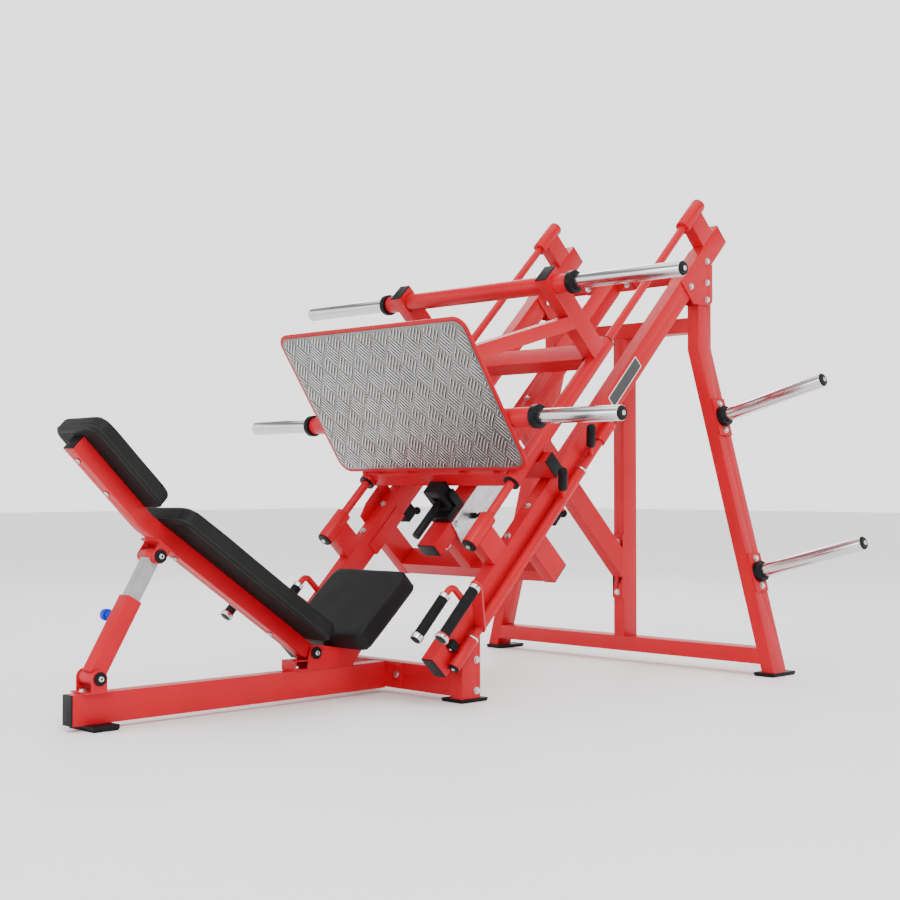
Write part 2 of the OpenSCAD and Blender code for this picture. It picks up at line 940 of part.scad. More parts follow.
// Shaft, torque tube, lever, grip tube and peg stems of one side
module safety_shaft(s) {
  color(red) at_shaft(s) {
    rod_x(-350, 752, shaft_r);
    rod_x(-186, 518, 18);
    rod_x(-190, -182, 20);
    translate([-190, -20, 0]) cube([8, 40, lever_l]);
    translate([0, 0, lever_l]) rod_x(-190, -182, 20);
    translate([0, 0, lever_l]) rod_x(-396, -184, grip_r);
    translate([0, 0, lever_l]) rod_x(-404, -388, 21);
    translate([0, 0, lever_l]) rod_x(-205, -189, 18);
    for (u = peg_u) translate([u, 0, 0]) cylinder(r = 9, h = 150);
    translate([peg_u[0], 0, -85]) cylinder(r = 5, h = 85);
  }
}

// Rubber parts of one side: peg sleeves, grip and the ball of the counter stem
module safety_rubbers(s) {
  color(black) at_shaft(s) {
    for (u = peg_u) translate([u, 0, 0]) difference() {
      union() {
        translate([0, 0, 64]) cylinder(r = 16, h = 88);
        translate([0, 0, 152]) sphere(r = 16);
      }
      translate([0, 0, 60]) cylinder(r = 9 + fit, h = 90.2);
    }
    translate([0, 0, lever_l]) difference() {
      rod_x(-388, -205, grip_rubber_r);
      rod_x(-400, -190, grip_r + fit);
    }
    translate([peg_u[0], 0, -85]) difference() {
      sphere(r = 15);
      translate([0, 0, -fit]) cylinder(r = 5 + fit, h = 40);
    }
  }
}

module safety_shaft_right() {
  safety_shaft(-1);
}

module safety_rubbers_right() {
  safety_rubbers(-1);
}

module safety_shaft_left() {
  safety_shaft(1);
}

module safety_rubbers_left() {
  safety_rubbers(1);
}

// ---------- backrest ----------

// One edge of the bent beam, at depth d below its upper face, ends moved out by e
function edge(d, e) = let (h = (head_slope - back_slope) / 2, m = back_slope + h, q = d / cos(h)) [
  [back_x - d * sin(back_slope) + e * cos(back_slope),
    back_z - d * cos(back_slope) - e * sin(back_slope)],
  [back_x - back_l * cos(back_slope) - q * sin(m),
    back_z + back_l * sin(back_slope) - q * cos(m)],
  [back_x - back_l * cos(back_slope) - (head_l + e) * cos(head_slope) - d * sin(head_slope),
    back_z + back_l * sin(back_slope) + (head_l + e) * sin(head_slope) - d * cos(head_slope)]];

module beam_body(t, e) {
  up = edge(t, e);
  low = edge(tube_w - t, e);
  machine() slab([up[0], up[1], up[2], low[2], low[1], low[0]], -half + t, half - t);
}

// Bent square tube with its hinge eye and the fork for the strut
module backrest_beam() {
  color(red) difference() {
    union() {
      difference() {
        beam_body(0, 0);
        beam_body(wall, 2);
      }
      machine() translate(hinge) rod_y(20, 26);
      on_back() box([-14, -23.5, -44], [6, 23.5, -8]);
      on_back() {
        box([618, -44, -56], [690, 44, -50]);
        for (s = [-1, 1]) translate([fork_s, s * 41.5, fork_n]) tab(22, 38, 5);
      }
    }
    machine() translate(hinge) rod_y(10 + fit, 60);
    on_back() translate([fork_s, 0, fork_n]) rod_y(pin_r, 60);
    at_pad_bolts() bore(4);
  }
}

module back_pad() {
  color(vinyl) on_back() translate([0, 0, board_t + pad_t]) cushion(21, 702, 300, pad_t, 40);
}

module headrest_pad() {
  color(vinyl) on_head() translate([0, 0, board_t + pad_t - 4])
    cushion(36, 350, 236, pad_t - 4, 40);
}

module pad_boards() {
  color(black) difference() {
    union() {
      on_back() box([35, -135, skin], [688, 135, board_t]);
      on_head() box([50, -103, skin], [336, 103, board_t]);
    }
    at_pad_bolts() bore(4);
  }
}

// Pad bolts, upper strut pin and the cap of the beam
module backrest_bolts() {
  color(black) {
    at_pad_bolts() bolt(4);
    machine() translate(strut_high) {
      rod_y(pin_r - fit, 44.5);
      for (s = [-1, 1]) rotate([-90 * s, 0, 0]) {
        translate([0, 0, 44]) cylinder(r = 19.5, h = 6);
        translate([0, 0, 49]) cylinder(r = 8, h = 6, $fn = 6);
      }
    }
    on_head() translate([head_l, 0, -half]) rotate([0, 90, 0]) plug_cap(tube_w, tube_w);
  }
}

// ---------- backrest strut ----------

module strut_outer() {
  color(red) on_strut() difference() {
    union() {
      rod_y(22, 38.7);
      box([-25, -25, 10], [25, 25, 253]);
    }
    box([-20.1, -20.1, 30], [20.1, 20.1, 260]);
    rod_y(pin_r + fit, 60);
    translate([0, 25, lock_h]) rod_y(6.1, 12);
  }
}

module strut_inner() {
  color(chrome) on_strut() difference() {
    union() {
      tube([-20, -20, 80], [20, 20, strut_l - 15], 2, 2.5);
      translate([0, 0, strut_l]) rod_y(22, 38.7);
    }
    translate([0, 0, strut_l]) rod_y(pin_r + 6, 60);
    for (z = [-60, -30, 0, 30]) translate([0, 20, lock_h + z]) rod_y(6.5, 10);
  }
}

// Spring plunger with its knob on the side of the strut
module pop_pin() {
  color(blue) on_strut() translate([0, 0, lock_h]) rotate([-90, 0, 0]) {
    translate([0, 0, 20.5]) cylinder(r = 6, h = 16);
    translate([0, 0, 25.3]) cylinder(r = 12, h = 12);
    translate([0, 0, 37]) cylinder(r = 8, h = 37);
    translate([0, 0, 58]) cylinder(r = 13, h = 7);
    translate([0, 0, 73]) cylinder(r = 18, h = 20);
  }
}

module stop_handle() {
  color(black) on_rail() translate([0, 0, -63]) difference() {
    union() {
      rod_x(85, 234, 15);
      rod_x(230, 247, 10);
      translate([247, 0, 0]) rod_y(11, 11);
    }
    translate([247, 0, 0]) rod_y(4 + fit, 30);
  }
}

// Plunger with its knob on the beam plate
module pull_pin() {
  color(black) on_rail() translate([300, 0, -182]) rotate([90, 0, 0]) {
    translate([0, 0, 41]) cylinder(r = 6, h = 40);
    translate([0, 0, 48.3]) cylinder(r = 11, h = 10);
    translate([0, 0, 78]) cylinder(r = 12.5, h = 18);
  }
}

base_beam();
front_cross_beam();
front_posts();
rails();
rail_gussets();
rod_supports();
guide_rods();
drop_posts();
lower_cross_tube();
upper_cross_tube();
centre_beam();
rack_plate();
rear_legs();
rear_crossbars();
rear_centre_post();
diagonal_brace();
storage_flanges();
storage_horns();
storage_collars();
foot_plates();
rubber_feet();
frame_end_caps();
frame_bolts();
shaft_sleeves();
assist_grip_tubes();
assist_grip_rubbers();
grip_collars();
stop_pads();
stop_block();
pivot_bolts();
strut_bracket();
seat_bracket();
seat_board();
seat_pad();
carriage_sleeves();
carriage_bearings();
carriage_uprights();
carriage_cross_tubes();
horn_bars();
carriage_braces();
foot_plate();
tread_plate();
carriage_horns();
carriage_collars();
carriage_end_caps();
carriage_bolts();
safety_shaft_right();
safety_rubbers_right();
safety_shaft_left();
safety_rubbers_left();
backrest_beam();
back_pad();
headrest_pad();
pad_boards();
backrest_bolts();
strut_outer();
strut_inner();
pop_pin();
stop_handle();
pull_pin();
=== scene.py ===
"""Leg press machine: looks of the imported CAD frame, in Blender."""

import json
import math

import bmesh
import bpy
from mathutils import Matrix, Vector, noise


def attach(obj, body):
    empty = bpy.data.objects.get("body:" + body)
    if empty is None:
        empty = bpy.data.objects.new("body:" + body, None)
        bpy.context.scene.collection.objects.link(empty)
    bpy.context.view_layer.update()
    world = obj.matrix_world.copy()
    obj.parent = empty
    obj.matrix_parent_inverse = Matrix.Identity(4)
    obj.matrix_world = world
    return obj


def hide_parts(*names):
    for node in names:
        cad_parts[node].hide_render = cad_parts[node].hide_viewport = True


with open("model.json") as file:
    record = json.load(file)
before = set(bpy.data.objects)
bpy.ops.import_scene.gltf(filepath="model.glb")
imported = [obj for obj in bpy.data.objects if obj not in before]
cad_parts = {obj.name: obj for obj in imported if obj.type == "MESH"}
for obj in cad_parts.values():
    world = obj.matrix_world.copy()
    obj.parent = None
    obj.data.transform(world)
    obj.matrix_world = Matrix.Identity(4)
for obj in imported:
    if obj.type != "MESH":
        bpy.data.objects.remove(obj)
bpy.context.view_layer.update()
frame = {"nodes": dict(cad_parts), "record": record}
nodes = frame["nodes"]
record = frame["record"]
SLOT = {p["node"]: p["material_slot"] for p in record["subparts"]}
BODY = {n: b for b, ns in record["behaviour"]["bodies"].items() for n in ns}
JOINT = {j["name"]: j for j in record["behaviour"]["joints"]}

# ---------- frames of reference, from the record ----------

U = Vector(JOINT["carriage_slide"]["axis"]).normalized()
Y = Vector((0, 1, 0))
V = Vector((-U.z, 0, U.x))
# V points square off the rails, SHAFT lies on the right safety lever's axis
SHAFT = Vector(JOINT["right_safety_lever"]["pos_m"])
# millimetres in the rail's frame: the lever shafts' place, and how far the guide rods stand apart
LEVER_Y, LEVER_V = 412, 184
ROD_Y = 369
RAIL = Vector((SHAFT.x, 0, SHAFT.z)) + V * (LEVER_V / 1000)
PLATE_LEAN = math.radians(33.4)
PLATE_UP = Vector((-math.sin(PLATE_LEAN), 0, math.cos(PLATE_LEAN)))
PLATE_BACK = Vector((math.cos(PLATE_LEAN), 0, math.sin(PLATE_LEAN)))


def rail(u, y, v):
    """A point given in millimetres in the rail's own frame."""
    return RAIL + U * (u / 1000) + Y * (y / 1000) + V * (v / 1000)


def span(node, axis):
    """Smallest and largest reach of a node along a direction."""
    d = [v.co.dot(axis) for v in nodes[node].data.vertices]
    return min(d), max(d)


# ---------- materials ----------

def principled(mat):
    """An empty node tree with one Principled shader going to the output."""
    mat.use_nodes = True
    tree = mat.node_tree
    tree.nodes.clear()
    out = tree.nodes.new("ShaderNodeOutputMaterial")
    bsdf = tree.nodes.new("ShaderNodeBsdfPrincipled")
    tree.links.new(bsdf.outputs[0], out.inputs[0])
    return tree, bsdf


def ranged(tree, source, low, high):
    """The middle half of a noise value, stretched to run from low to high."""
    node = tree.nodes.new("ShaderNodeMapRange")
    node.inputs["From Min"].default_value = 0.25
    node.inputs["From Max"].default_value = 0.75
    node.inputs["To Min"].default_value = low
    node.inputs["To Max"].default_value = high
    tree.links.new(source, node.inputs["Value"])
    return node.outputs["Result"]


def texture(tree, coord, scale, detail=3.0, stretch=None):
    """Noise on the given coordinates, drawn out along an axis if stretch is given."""
    node = tree.nodes.new("ShaderNodeTexNoise")
    node.inputs["Scale"].default_value = scale
    node.inputs["Detail"].default_value = detail
    source = coord
    if stretch:
        mapping = tree.nodes.new("ShaderNodeMapping")
        mapping.inputs["Scale"].default_value = stretch
        tree.links.new(coord, mapping.inputs["Vector"])
        source = mapping.outputs[0]
    tree.links.new(source, node.inputs["Vector"])
    return node.outputs["Fac"]


def material(name, low, high, rough, metal=0.0, coat=0.0, grain=40.0, bump=0.02,
             bump_scale=600.0, stretch=None, specular=0.5, coat_rough=0.1):
    """Principled material whose colour, roughness and relief vary with noise."""
    mat = bpy.data.materials.new(name)
    tree, bsdf = principled(mat)
    coord = tree.nodes.new("ShaderNodeTexCoord").outputs["Object"]
    mix = tree.nodes.new("ShaderNodeMix")
    mix.data_type = "RGBA"
    mix.inputs[6].default_value = (*low, 1)
    mix.inputs[7].default_value = (*high, 1)
    tree.links.new(ranged(tree, texture(tree, coord, grain, stretch=stretch), 0, 1), mix.inputs[0])
    tree.links.new(mix.outputs[2], bsdf.inputs["Base Color"])
    wear = texture(tree, coord, grain * 0.4, stretch=stretch)
    tree.links.new(ranged(tree, wear, rough[0], rough[1]), bsdf.inputs["Roughness"])
    relief = tree.nodes.new("ShaderNodeBump")
    relief.inputs["Strength"].default_value = bump
    relief.inputs["Distance"].default_value = 0.001
    tree.links.new(texture(tree, coord, bump_scale, 2.0, stretch), relief.inputs["Height"])
    tree.links.new(relief.outputs[0], bsdf.inputs["Normal"])
    bsdf.inputs["Metallic"].default_value = metal
    bsdf.inputs["Coat Weight"].default_value = coat
    bsdf.inputs["Coat Roughness"].default_value = coat_rough
    bsdf.inputs["Specular IOR Level"].default_value = specular
    return mat


MATS = {
    "red_paint": material("red_paint", (0.42, 0.0008, 0.009), (0.48, 0.0014, 0.011), (0.36, 0.48),
                          coat=0.04, grain=6, bump=0.05, bump_scale=900, specular=0.18),
    "black_paint": material("black_paint", (0.003, 0.003, 0.004), (0.007, 0.007, 0.008),
                            (0.40, 0.55), grain=30, bump=0.08, bump_scale=900, specular=0.13),
    "chrome": material("chrome", (0.58, 0.58, 0.59), (0.66, 0.66, 0.67), (0.16, 0.24), metal=1,
                       grain=12, bump=0.01, bump_scale=300),
    "zinc_steel": material("zinc_steel", (0.50, 0.50, 0.51), (0.64, 0.64, 0.65), (0.22, 0.38),
                           metal=1, grain=60, bump=0.03),
    "tread_steel": material("tread_steel", (0.20, 0.195, 0.19), (0.27, 0.265, 0.26), (0.34, 0.46),
                            metal=1, grain=14, bump=0.06, bump_scale=250),
    "black_plastic": material("black_plastic", (0.003, 0.003, 0.004), (0.007, 0.007, 0.008),
                              (0.34, 0.48), grain=30, bump=0.12, bump_scale=1500, specular=0.13),
    "rubber": material("rubber", (0.004, 0.004, 0.005), (0.009, 0.009, 0.010), (0.60, 0.75),
                       grain=40, bump=0.2, bump_scale=1200, specular=0.12),
    "pad_vinyl": material("pad_vinyl", (0.004, 0.004, 0.005), (0.008, 0.008, 0.009), (0.46, 0.58),
                          grain=9, bump=0.22, bump_scale=1400, specular=0.16),
    "board": material("board", (0.006, 0.004, 0.004), (0.012, 0.009, 0.009), (0.60, 0.75),
                      grain=20, bump=0.2, bump_scale=300, stretch=(1, 6, 1), specular=0.1),
    "blue_plastic": material("blue_plastic", (0.001, 0.02, 0.50), (0.003, 0.03, 0.62),
                             (0.3, 0.4), grain=30, bump=0.03, specular=0.2),
}
WHITE = material("white_print", (0.74, 0.74, 0.74), (0.82, 0.82, 0.82), (0.35, 0.45), grain=50)
# black of the label's print, also used as painted shade in the screw sockets and the strut hole
BLACK_PRINT_AND_SHADE = material("black_print_and_painted_shade", (0.01, 0.01, 0.011), (0.02, 0.02, 0.021), (0.3, 0.4), grain=50)
STRUT_STEEL = material("strut_steel", (0.27, 0.27, 0.275), (0.33, 0.33, 0.335), (0.36, 0.48),
                       grain=30, bump=0.04, specular=0.3)
# tread bars: the bright top is a painted highlight and the near-black flanks are painted shade, standing in
# for how light falls on the ridges
TREAD_PAINTED_HIGHLIGHT = material("tread_painted_highlight", (0.66, 0.65, 0.64), (0.78, 0.77, 0.76), (0.18, 0.28), metal=1,
                     grain=14, bump=0.02, bump_scale=250)
TREAD_PAINTED_SHADE = material("tread_flank_painted_shade", (0.006, 0.006, 0.006), (0.014, 0.013, 0.013), (0.45, 0.60),
                       grain=20, bump=0.05, bump_scale=250, specular=0.3)
SEAM = material("seam_thread", (0.006, 0.006, 0.007), (0.012, 0.012, 0.013), (0.6, 0.7), grain=300)
BEVEL = {"red_paint": 3.0, "black_paint": 1.2, "black_plastic": 1.5, "rubber": 1.5, "zinc_steel": 0.6,
         "chrome": 0.8, "board": 2.0, "tread_steel": 0.6, "blue_plastic": 2.0}
FINE = {"rail_gussets": 1.0, "foot_plate": 1.2, "storage_flanges": 1.2, "foot_plates": 1.5,
        "guide_rods": 1.0, "seat_bracket": 1.2, "strut_bracket": 1.2, "diagonal_brace": 2.0,
        "rack_plate": 0.8, "tread_plate": 0.6}

for name, obj in nodes.items():
    mat = STRUT_STEEL if name == "strut_inner" else MATS[SLOT[name]]
    obj.data.materials.clear()
    obj.data.materials.append(mat)
    for poly in obj.data.polygons:
        poly.use_smooth = True
    weld = obj.modifiers.new("weld", "WELD")
    weld.merge_threshold = 0.00002
    flat = obj.modifiers.new("flat", "DECIMATE")
    flat.decimate_type = "DISSOLVE"
    flat.angle_limit = math.radians(0.5)
    width = FINE.get(name, BEVEL.get(SLOT[name], 1.0)) / 1000
    bevel = obj.modifiers.new("edges", "BEVEL")
    bevel.width = width
    bevel.segments = 3
    bevel.limit_method = "ANGLE"
    bevel.angle_limit = math.radians(40)
    bevel.harden_normals = True
    bevel.use_clamp_overlap = True

# ---------- small builders ----------


def add(name, mesh, mat, body, smooth=True):
    """An object of one material that moves with a body."""
    obj = bpy.data.objects.new(name, mesh)
    bpy.context.scene.collection.objects.link(obj)
    mesh.materials.append(mat)
    for poly in mesh.polygons:
        poly.use_smooth = smooth
    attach(obj, body)
    return obj


def basis(origin, z):
    """A frame at origin whose Z is the given direction."""
    z = z.normalized()
    x = Vector((1, 0, 0)) if abs(z.x) < 0.8 else Vector((0, 1, 0))
    x = (x - z * x.dot(z)).normalized()
    return Matrix.Translation(origin) @ Matrix((x, z.cross(x), z)).transposed().to_4x4()


def lathe(name, profile, origin, axis, mat, body, steps=64):
    """A closed turned piece: profile is [(radius, height)] in millimetres, along its surface."""
    mesh = bpy.data.meshes.new(name)
    bm = bmesh.new()
    rings = []
    angles = [2 * math.pi * i / steps for i in range(steps)]
    for r, h in profile:
        if r > 0.01:
            rings.append([bm.verts.new((r / 1000 * math.cos(a), r / 1000 * math.sin(a), h / 1000))
                          for a in angles])
        else:
            rings.append([bm.verts.new((0, 0, h / 1000))])
    if len(rings[-1]) > 1:
        centre = (0, 0, profile[-1][1] / 1000)
        rings.append(rings[0] if len(rings[0]) > 1 else [bm.verts.new(centre)])
    for low, up in zip(rings, rings[1:]):
        for i in range(steps):
            j = (i + 1) % steps
            if len(low) == 1:
                bm.faces.new((low[0], up[i], up[j]))
            elif len(up) == 1:
                bm.faces.new((low[i], low[j], up[0]))
            else:
                bm.faces.new((low[i], low[j], up[j], up[i]))
    bmesh.ops.recalc_face_normals(bm, faces=bm.faces)
    bm.to_mesh(mesh)
    bm.free()
    mesh.transform(basis(origin, axis))
    return add(name, mesh, mat, body)


def evaluated(obj):
    """A new mesh with the object's modifiers applied."""
    deps = bpy.context.evaluated_depsgraph_get()
    return bpy.data.meshes.new_from_object(obj.evaluated_get(deps), depsgraph=deps)


# ---------- cushions ----------

HELD_BASE = 0.012
CLOTH_FRAMES = 20
SMOOTHING_ROUNDS = 30
WAVE_HEIGHT = 0.0012

def pad_mesh(node, along, up, round_mm, skirt, fuller):
    """The CAD pad with rounded edges, a little fuller at its ends, wrapped over its board."""
    src = bpy.data.objects.new("work", nodes[node].data.copy())
    reach = span(node, along)
    middle = sum(reach) / 2
    for v in src.data.vertices:
        away = (v.co.dot(along) - middle) / (reach[1] - middle)
        v.co += along * (fuller[0 if away < 0 else 1] * away)
    base = min(v.co.dot(up) for v in src.data.vertices)
    for v in src.data.vertices:
        if v.co.dot(up) < base + 0.001:
            v.co -= up * skirt
    bpy.context.scene.collection.objects.link(src)
    weld = src.modifiers.new("weld", "WELD")
    weld.merge_threshold = 0.00005
    flat = src.modifiers.new("flat", "DECIMATE")
    flat.decimate_type = "DISSOLVE"
    flat.angle_limit = math.radians(1)
    edge = src.modifiers.new("edge", "BEVEL")
    edge.width = round_mm / 1000
    edge.segments = 5
    edge.limit_method = "ANGLE"
    edge.angle_limit = math.radians(50)
    grid = src.modifiers.new("grid", "REMESH")
    grid.mode = "VOXEL"
    grid.voxel_size = 0.005
    mesh = evaluated(src)
    bpy.data.objects.remove(src)
    return mesh


def relaxed(mesh, values, rounds):
    """Values on a mesh's points, averaged with their neighbours so that no wrinkle stays."""
    near = [[] for _ in mesh.vertices]
    for edge in mesh.edges:
        a, b = edge.vertices
        near[a].append(b)
        near[b].append(a)
    for _ in range(rounds):
        values = [(values[i] + sum(values[k] for k in ks)) / (1 + len(ks)) for i, ks in enumerate(near)]
    return values


def cushion(node, along, up, round_mm, crown, seed, skirt, fuller):
    """A stuffed pad, puffed by a pressure cloth simulation with its base held.

    crown caps how far a point may move and fuller lengthens the pad at its low and high end.
    """
    body = BODY[node]
    mesh = pad_mesh(node, along, up, round_mm, skirt, fuller)
    heights = [v.co.dot(up) for v in mesh.vertices]
    low, high = min(heights), max(heights)
    rest = [(v.co.copy(), v.normal.copy()) for v in mesh.vertices]
    obj = bpy.data.objects.new(node + "_cushion", mesh)
    bpy.context.scene.collection.objects.link(obj)
    held = obj.vertex_groups.new(name="held")
    for i, h in enumerate(heights):
        if h < low + HELD_BASE:
            held.add([i], 1.0, "REPLACE")
    cloth = obj.modifiers.new("cloth", "CLOTH")
    cloth.settings.vertex_group_mass = "held"
    cloth.settings.quality = 4
    cloth.settings.mass = 0.4
    cloth.settings.tension_stiffness = 25
    cloth.settings.compression_stiffness = 25
    cloth.settings.shear_stiffness = 12
    cloth.settings.bending_stiffness = 2.0
    cloth.settings.use_pressure = True
    cloth.settings.uniform_pressure_force = 4
    cloth.settings.effector_weights.gravity = 0
    cloth.point_cache.frame_start = 1
    cloth.point_cache.frame_end = CLOTH_FRAMES
    for f in range(1, CLOTH_FRAMES + 1):
        bpy.context.scene.frame_set(f)
    moved = evaluated(obj)
    obj.modifiers.clear()
    bpy.context.scene.frame_set(1)
    puff = [max(0.0, (q.co - p).dot(n)) for (p, n), q in zip(rest, moved.vertices)]
    for v, (p, n), rise in zip(mesh.vertices, rest, relaxed(mesh, puff, SMOOTHING_ROUNDS)):
        v.co = p + n * min(rise, crown)
    for v, h in zip(mesh.vertices, heights):
        t = (h - low) / (high - low)
        wave = noise.noise(v.co * 9 + Vector((seed, 0, 0)))
        v.co += up * (WAVE_HEIGHT * wave * max(0, t - 0.6) / 0.4)
    mesh.materials.clear()
    mesh.materials.append(MATS["pad_vinyl"])
    for poly in mesh.polygons:
        poly.use_smooth = True
    soft = obj.modifiers.new("soft", "SUBSURF")
    soft.levels = 1
    soft.render_levels = 1
    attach(obj, body)
    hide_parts(node)


def outline(x0, x1, w, r, steps=10):
    """Points round a rounded rectangle, anticlockwise."""
    pts = []
    corners = ((x1 - r, w - r, 0), (x0 + r, w - r, 90), (x0 + r, -w + r, 180), (x1 - r, -w + r, 270))
    for cx, cy, a0 in corners:
        for i in range(steps + 1):
            a = math.radians(a0 + 90 * i / steps)
            pts.append((cx + r * math.cos(a), cy + r * math.sin(a)))
    return pts


def bead(name, pts, radius, mat, body, steps=8):
    """A thin round bead along a closed loop of points."""
    mesh = bpy.data.meshes.new(name)
    bm = bmesh.new()
    rings = []
    n = len(pts)
    for i, p in enumerate(pts):
        m = basis(p, pts[(i + 1) % n] - pts[(i - 1) % n])
        rings.append([bm.verts.new(m @ Vector((radius * math.cos(t), radius * math.sin(t), 0)))
                      for t in (2 * math.pi * k / steps for k in range(steps))])
    for i in range(n):
        low, up = rings[i], rings[(i + 1) % n]
        best = min(range(steps), key=lambda k: (low[0].co - up[k].co).length)
        for k in range(steps):
            j = (k + 1) % steps
            bm.faces.new((low[k], low[j], up[(j + best) % steps], up[(k + best) % steps]))
    bmesh.ops.recalc_face_normals(bm, faces=bm.faces)
    bm.to_mesh(mesh)
    bm.free()
    return add(name, mesh, mat, body)


def slope_axes(deg, reverse):
    """Along and up directions of a padded surface at that slope."""
    a = math.radians(deg)
    if reverse:
        return Vector((-math.cos(a), 0, math.sin(a))), Vector((math.sin(a), 0, math.cos(a)))
    return Vector((math.cos(a), 0, math.sin(a))), Vector((-math.sin(a), 0, math.cos(a)))


# node, slope, leaning back, edge mm, most movement, corner mm, seed, skirt, fuller
PADS = (("seat_pad", 42.6, False, 9, 0.0035, 30, 1, 0.0095, (0.0, 0.008)),
        ("back_pad", 34.9, True, 9, 0.0035, 40, 2, 0.0075, (0.0, 0.004)),
        ("headrest_pad", 44.9, True, 9, 0.0030, 40, 3, 0.0075, (0.007, 0.007)))
for node, deg, reverse, edge, crown, corner, seed, skirt, fuller in PADS:
    along, up = slope_axes(deg, reverse)
    cushion(node, along, up, edge, crown, seed, skirt, fuller)
    x0, x1 = span(node, along)
    z0 = span(node, up)[0]
    half_w = span(node, Y)[1]
    ring = [along * px + Y * py + up * (z0 + 0.001)
            for px, py in outline(x0 - fuller[0], x1 + fuller[1], half_w, corner / 1000)]
    bead(f"{node}_seam", ring, 0.0010, SEAM, BODY[node])

# ---------- tread plate: raised bars in alternating groups ----------

GROUP_COL, GROUP_ROW = 0.0405, 0.053
BAR_HALF_LENGTH = 0.0320
BAR_HALF_WIDTH = 0.0048
BAR_SPACING = 0.0130
BAR_RELIEF = 0.0022
# across a bar: sideways place and height, each as a share of the half width and the relief
BAR_PROFILE = ((-1, -0.1), (-0.46, 0.70), (-0.3, 0.96), (0.2, 0.96), (0.42, 0.70), (1, -0.1))

def inside(p, half_w, half_h, corner):
    """Whether a point lies in a rounded rectangle centred on the origin."""
    dx = max(abs(p.x) - (half_w - corner), 0)
    dy = max(abs(p.y) - (half_h - corner), 0)
    return math.hypot(dx, dy) <= corner


def tread():
    """Groups of five bars on a staggered grid, leaning one way in one row and the other in the next."""
    y0, y1 = span("tread_plate", Y)
    z0, z1 = span("tread_plate", PLATE_UP)
    front = span("tread_plate", PLATE_BACK)[0]
    middle = Vector(((y0 + y1) / 2, (z0 + z1) / 2))
    half_w, half_h = (y1 - y0) / 2 - 0.003, (z1 - z0) / 2 - 0.003
    mesh = bpy.data.meshes.new("tread_bars")
    bm = bmesh.new()
    lean = math.atan2(GROUP_COL, GROUP_ROW)
    across = (y1 - y0) / GROUP_COL
    down = (z1 - z0) / GROUP_ROW
    steps = 16
    for i in range(-1, int(across) + 2):
        for j in range(int(down) + 2):
            if (i + j) % 2:
                continue
            turn = lean if j % 2 else -lean
            d = Vector((math.sin(turn), math.cos(turn)))
            n = Vector((math.sin(-turn), math.cos(-turn)))
            centre = Vector((y0 - 0.016 + i * GROUP_COL, z1 - 0.023 - j * GROUP_ROW))
            for k in range(-2, 3):
                q = centre + n * (k * BAR_SPACING) - middle
                ts = [t for t in (-1 + 2 * m / steps for m in range(steps + 1))
                      if inside(q + d * (BAR_HALF_LENGTH * t), half_w, half_h, 0.045)]
                if len(ts) < 4:
                    continue
                t0, t1 = BAR_HALF_LENGTH * ts[0], BAR_HALF_LENGTH * ts[-1]
                bar(bm, q + middle, d, t0, t1, front)
    bm.to_mesh(mesh)
    bm.free()
    obj = add("tread_bars", mesh, TREAD_PAINTED_HIGHLIGHT, "carriage", smooth=True)
    mesh.materials.append(TREAD_PAINTED_SHADE)


def bar(bm, q, d, t0, t1, front):
    """One raised bar of the tread: a low ridge that tapers to both ends."""
    side = Vector((-d.y, d.x))
    rings = []
    count = 8
    for m in range(count + 1):
        f = m / count
        swell = math.sin(math.pi * (0.06 + 0.88 * f)) ** 0.5
        along = q + d * (t0 + (t1 - t0) * f)
        ring = []
        for a, h in BAR_PROFILE:
            p = along + side * (a * BAR_HALF_WIDTH * swell)
            depth = front - BAR_RELIEF * h * swell
            ring.append(bm.verts.new(Y * p.x + PLATE_UP * p.y + PLATE_BACK * depth))
        rings.append(ring)
    for low, up in zip(rings, rings[1:]):
        for m in range(len(BAR_PROFILE)):
            n = (m + 1) % len(BAR_PROFILE)
            face = bm.faces.new((low[m], low[n], up[n], up[m]))
            # both flanks of each bar take the near-black painted shade, the top takes the bright painted
            # highlight
            face.material_index = 1 if m in (0, 4) else 0
    bm.faces.new(rings[0])
    bm.faces.new(rings[-1][::-1])


tread()

# ---------- grips ----------


def ribbed(name, origin, axis, length, radius, body):
    """Ribbed rubber grip sleeve from origin along axis, millimetres."""
    pts = [(radius - 4, 0), (radius, 0.5)]
    count = int(length / 4.2)
    step = length / count
    for i in range(count):
        h = i * step
        pts += [(radius + 0.4, h + step * 0.15), (radius + 0.4, h + step * 0.55),
                (radius - 0.7, h + step * 0.75)]
    pts += [(radius, length - 0.3), (radius - 4, length)]
    obj = lathe(name, pts, origin, axis, MATS["rubber"], body)


